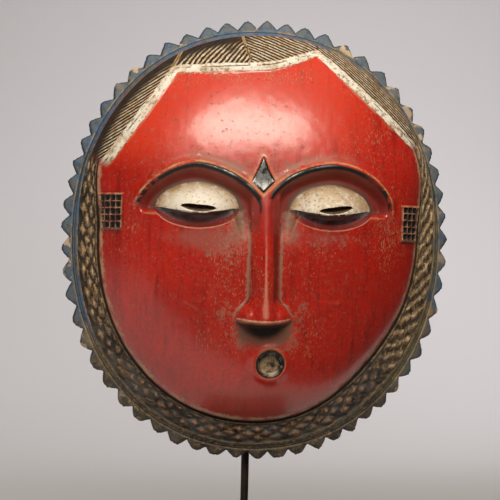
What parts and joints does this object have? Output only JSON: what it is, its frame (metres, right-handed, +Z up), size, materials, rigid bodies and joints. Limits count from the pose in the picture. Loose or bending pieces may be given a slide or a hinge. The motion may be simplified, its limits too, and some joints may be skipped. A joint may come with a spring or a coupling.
{
  "type": "carved disc mask on stand",
  "caption": "Carved wooden disc face mask with toothed rim, hung on a bent steel rod rising from a flat steel base.",
  "frame": {"origin": "middle of the base's underside", "axes": "+Z up, the mask looks along -Y, +X to the viewer's right"},
  "size_m": [0.245, 0.13, 0.3738],
  "materials": {
    "painted_wood": "semi-gloss red lacquer with white, blue and black paint, worn to the wood on edges",
    "rod_steel": "dark brown-black patinated steel, satin",
    "base_steel": "dark patinated steel plate, satin"
  },
  "bodies": {
    "root": {"mask": "painted_wood", "stand_rod": "rod_steel", "stand_base": "base_steel"}
  },
  "joints": []
}
